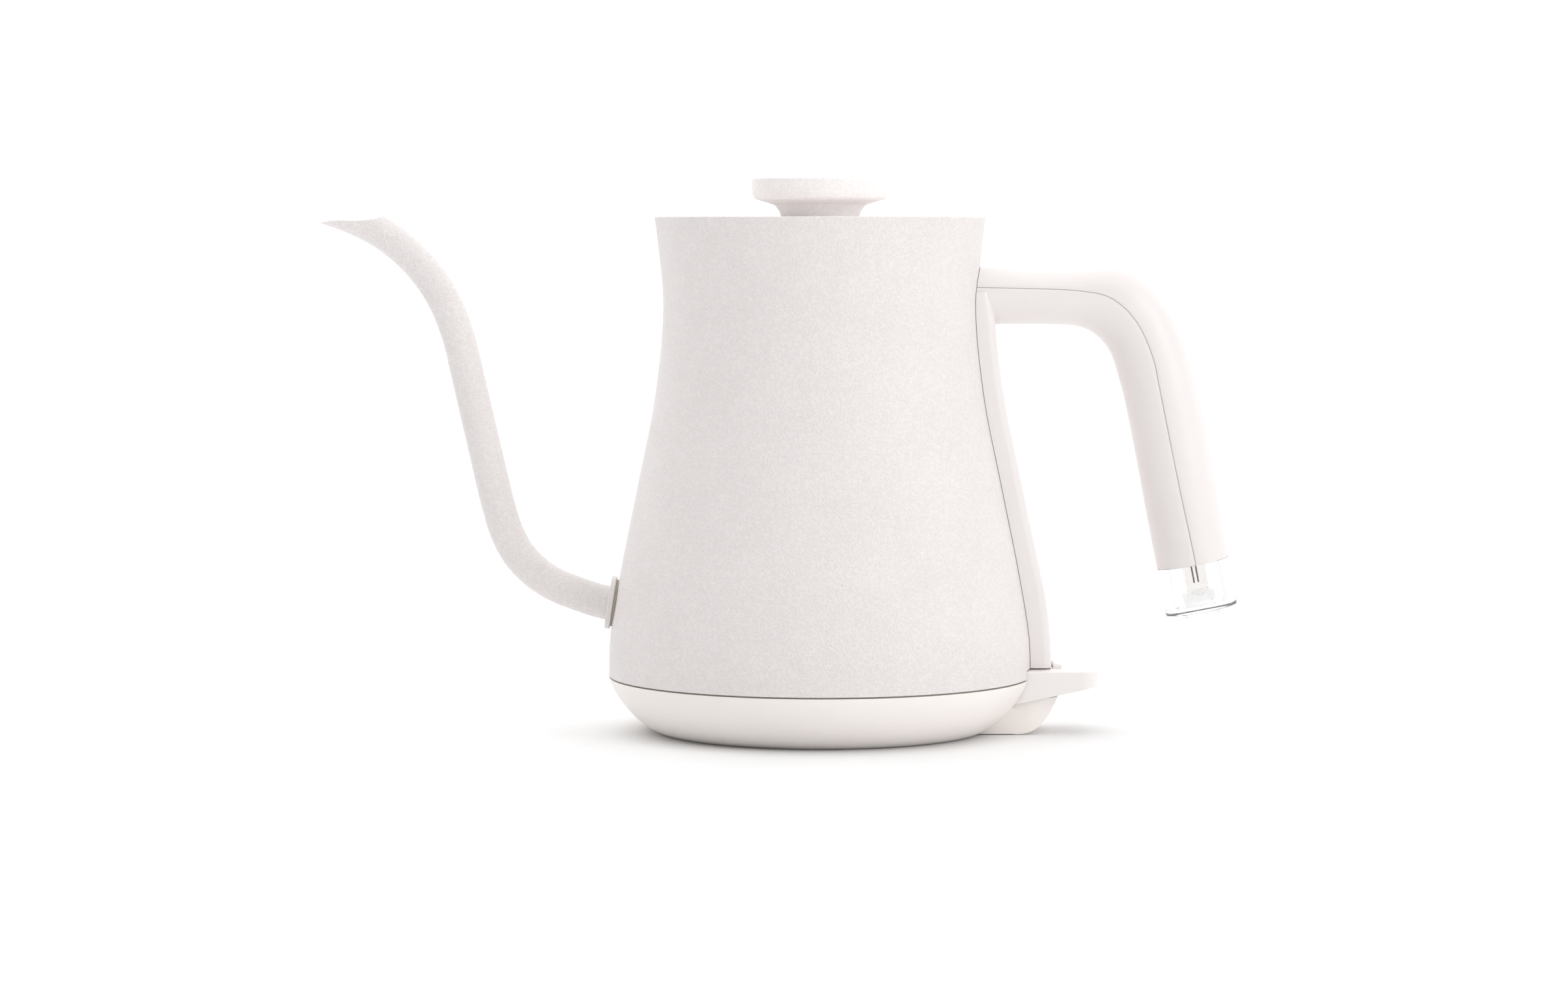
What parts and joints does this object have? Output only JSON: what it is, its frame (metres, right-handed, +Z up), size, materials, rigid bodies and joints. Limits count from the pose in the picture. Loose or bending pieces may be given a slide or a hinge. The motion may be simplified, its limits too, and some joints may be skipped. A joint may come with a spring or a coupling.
{
  "type": "gooseneck kettle",
  "caption": "Electric gooseneck kettle with a waisted vessel, slender curved spout, cantilevered loop handle, flat lid knob and a rear switch lever on a bowl-shaped base.",
  "frame": {"origin": "on the vessel's axis, in the plane of the foot ring that the kettle stands on, at the mouth of the round recess for the power base", "axes": "+Z up; the spout points to -X; the handle and the switch lever are on +X; the kettle's plane of symmetry is Y = 0"},
  "size_m": [0.2734, 0.1262, 0.1649],
  "materials": {
    "body_enamel": "matt textured coating",
    "bare_steel": "brushed",
    "handle_plastic": "fine satin",
    "lever_plastic": "fine satin",
    "base_plastic": "satin",
    "dark_rubber": "matt",
    "silicone": "matt, milky",
    "clear_plastic": "clear moulding",
    "frosted_plastic": "frosted",
    "lamp_glass": "clear glass",
    "electrode_metal": "dull nickel, brown tint",
    "resistor_enamel": "glazed",
    "dark_plastic": "glass-filled moulding",
    "aluminium": "rolled",
    "element_sheath": "drawn tube",
    "brass": "plated",
    "bimetal": "rolled strip",
    "zinc_steel": "zinc plated",
    "wire_insulation": "sleeved",
    "fuse_body": "ceramic",
    "plunger_plastic": "natural nylon"
  },
  "bodies": {
    "kettle": {"vessel_shell": "body_enamel", "spout_tube": "body_enamel", "spout_collar": "body_enamel", "spout_strainer": "bare_steel", "vessel_floor": "bare_steel", "lid_seat": "bare_steel", "handle_bracket": "bare_steel", "handle_outer_shell": "handle_plastic", "handle_inner_shell": "handle_plastic", "base_cover": "base_plastic", "spout_gasket": "dark_rubber", "base_seal": "dark_rubber", "steam_tube": "silicone", "steam_grommet": "silicone", "lamp_cap": "clear_plastic", "lamp_holder": "frosted_plastic", "neon_bulb": "lamp_glass", "lamp_electrodes": "electrode_metal", "lamp_resistor": "resistor_enamel", "control_body": "dark_plastic", "connector_socket": "dark_plastic", "switch_block": "dark_plastic", "lever_bearing": "dark_plastic", "heater_plate": "aluminium", "heating_element": "element_sheath", "centre_contact": "brass", "neutral_contact": "brass", "earth_contact": "brass", "contact_leaf": "brass", "element_terminals": "brass", "bimetal_discs": "bimetal", "steam_bimetal": "bimetal", "snap_spring": "bimetal", "handle_screw": "zinc_steel", "control_screws": "zinc_steel", "base_screws": "zinc_steel", "mounting_posts": "zinc_steel", "lever_pivot_pin": "zinc_steel", "lamp_wires": "wire_insulation", "power_leads": "wire_insulation", "thermal_fuse": "fuse_body"},
    "lever": {"switch_lever": "lever_plastic"},
    "plunger": {"contact_plunger": "plunger_plastic"},
    "lid": {"lid_plate": "body_enamel", "lid_skirt": "bare_steel", "lid_seal": "silicone", "lid_inner_plate": "bare_steel", "lid_knob": "body_enamel", "knob_washer": "silicone", "knob_screw": "zinc_steel"}
  },
  "joints": [
    {"name": "lever_press", "type": "hinge", "parent": "kettle", "child": "lever", "pos_m": [0.058, 0, 0.0142], "axis": [0, 1, 0], "range_deg": [0, 9]},
    {"name": "plunger_lift", "type": "slide", "parent": "kettle", "child": "plunger", "axis": [0, 0, 1], "range_m": [0, 0.0014]},
    {"name": "lid_lift", "type": "slide", "parent": "kettle", "child": "lid", "axis": [0, 0, 1], "range_m": [0, 0.12]}
  ],
  "couplings": [
    {"joint": "plunger_lift", "follows": "lever_press", "m_per_rad": 0.0085}
  ]
}
